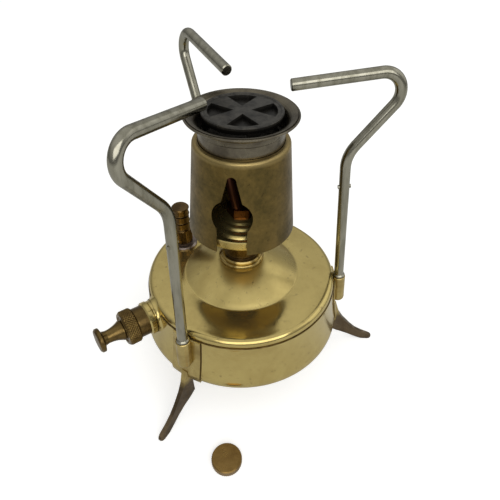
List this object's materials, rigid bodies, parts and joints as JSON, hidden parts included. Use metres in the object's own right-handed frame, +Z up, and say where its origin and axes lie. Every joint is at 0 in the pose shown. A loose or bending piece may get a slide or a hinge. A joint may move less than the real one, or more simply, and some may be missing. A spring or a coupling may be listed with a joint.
{
  "type": "pressure stove",
  "caption": "Brass pressure stove: round fuel tank on folded legs, side hand pump, filler with air screw, burner under a keyhole shroud, and bent rod pot supports",
  "frame": {"origin": "on the tank's axis, at the level of the floor that the legs stand on", "axes": "+Z up along the tank's axis; -Y towards the side with the shroud's window; +X towards the leg and pot support on the right of that view"},
  "size_m": [0.177, 0.1812, 0.1875],
  "materials": {
    "polished_brass": "polished",
    "aged_brass": "tarnished, half polished",
    "shroud_brass": "dull, olive brown from heat",
    "tinned": "tinned, dull",
    "dark_steel": "worn",
    "burnt_iron": "heat blackened",
    "plated_steel": "plated, worn",
    "leather": "oiled",
    "rubber": "matt"
  },
  "bodies": {
    "root": {"tank_lid": "polished_brass", "tank_base": "polished_brass", "riser_boss": "polished_brass", "feed_tube": "aged_brass", "filler_boss": "tinned", "pump_boss": "polished_brass", "pump_barrel": "aged_brass", "valve_body": "aged_brass", "valve_spring": "dark_steel", "bracket_left": "aged_brass", "bracket_right": "aged_brass", "bracket_back": "aged_brass", "filler_washer": "leather", "burner_washer": "tinned"},
    "valve": {"valve_pellet": "aged_brass", "valve_disc": "rubber"},
    "filler": {"filler_cap": "aged_brass"},
    "air_release": {"air_screw": "aged_brass"},
    "pump_nut": {"pump_cap": "aged_brass"},
    "plunger": {"pump_knob": "aged_brass", "pump_rod": "dark_steel", "piston_washer": "aged_brass", "piston_leather": "leather", "piston_nut": "aged_brass"},
    "burner": {"burner_stem": "aged_brass", "spirit_cup": "polished_brass", "burner_block": "aged_brass", "rising_tubes": "burnt_iron", "return_tubes": "burnt_iron", "nipple_holder": "aged_brass", "jet_nipple": "polished_brass", "burner_head": "burnt_iron"},
    "windshield": {"shroud": "shroud_brass"},
    "ring": {"flame_ring": "plated_steel"},
    "spreader": {"flame_spreader": "burnt_iron"},
    "support_left": {"pot_rod_left": "plated_steel"},
    "support_right": {"pot_rod_right": "plated_steel"},
    "support_back": {"pot_rod_back": "plated_steel"},
    "loose_cap": {"travel_cap": "aged_brass", "travel_washer": "leather"}
  },
  "joints": [
    {"name": "pump_cap_turn", "type": "hinge", "parent": "root", "child": "pump_nut", "pos_m": [-0.06575, -0.03669, 0.05424], "axis": [-0.8204, -0.5702, 0.0419], "range_deg": [0, 1080]},
    {"name": "pump_stroke", "type": "slide", "parent": "pump_nut", "child": "plunger", "axis": [-0.8204, -0.5702, 0.0419], "range_m": [0, 0.056]},
    {"name": "valve_open", "type": "slide", "parent": "root", "child": "valve", "axis": [0.8204, 0.5702, -0.0419], "range_m": [0, 0.0012], "stiffness_N_per_m": 300, "springref_m": -0.0005, "deforming": ["valve_spring"]},
    {"name": "filler_cap_turn", "type": "hinge", "parent": "root", "child": "filler", "pos_m": [-0.03791, 0.02462, 0.0735], "axis": [0, 0, 1], "range_deg": [0, 1080]},
    {"name": "air_screw_turn", "type": "hinge", "parent": "filler", "child": "air_release", "pos_m": [-0.03791, 0.02462, 0.086], "axis": [0, 0, 1], "range_deg": [0, 720]},
    {"name": "burner_turn", "type": "hinge", "parent": "root", "child": "burner", "pos_m": [0, 0, 0.09], "axis": [0, 0, 1], "range_deg": [0, 1080]},
    {"name": "shroud_lift", "type": "slide", "parent": "burner", "child": "windshield", "axis": [0, 0, 1], "range_m": [0, 0.007]},
    {"name": "ring_lift", "type": "slide", "parent": "windshield", "child": "ring", "axis": [0, 0, 1], "range_m": [0, 0.007]},
    {"name": "spreader_lift", "type": "slide", "parent": "ring", "child": "spreader", "axis": [0, 0, 1], "range_m": [0, 0.06]},
    {"name": "support_left_swivel", "type": "hinge", "parent": "root", "child": "support_left", "pos_m": [-0.0325, -0.05181, 0.0612], "axis": [0.0043, 0.1021, 0.9948], "range_deg": [-100, 100]},
    {"name": "support_right_swivel", "type": "hinge", "parent": "root", "child": "support_right", "pos_m": [0.06108, -0.00309, 0.0612], "axis": [-0.085, 0.0742, 0.9936], "range_deg": [-100, 100]},
    {"name": "support_back_swivel", "type": "hinge", "parent": "root", "child": "support_back", "pos_m": [-0.02946, 0.05359, 0.0612], "axis": [0.078, -0.0585, 0.9952], "range_deg": [-100, 100]},
    {"name": "loose_cap_lift", "type": "slide", "parent": "root", "child": "loose_cap", "axis": [0, 0, 1], "range_m": [0, 0.04]}
  ]
}
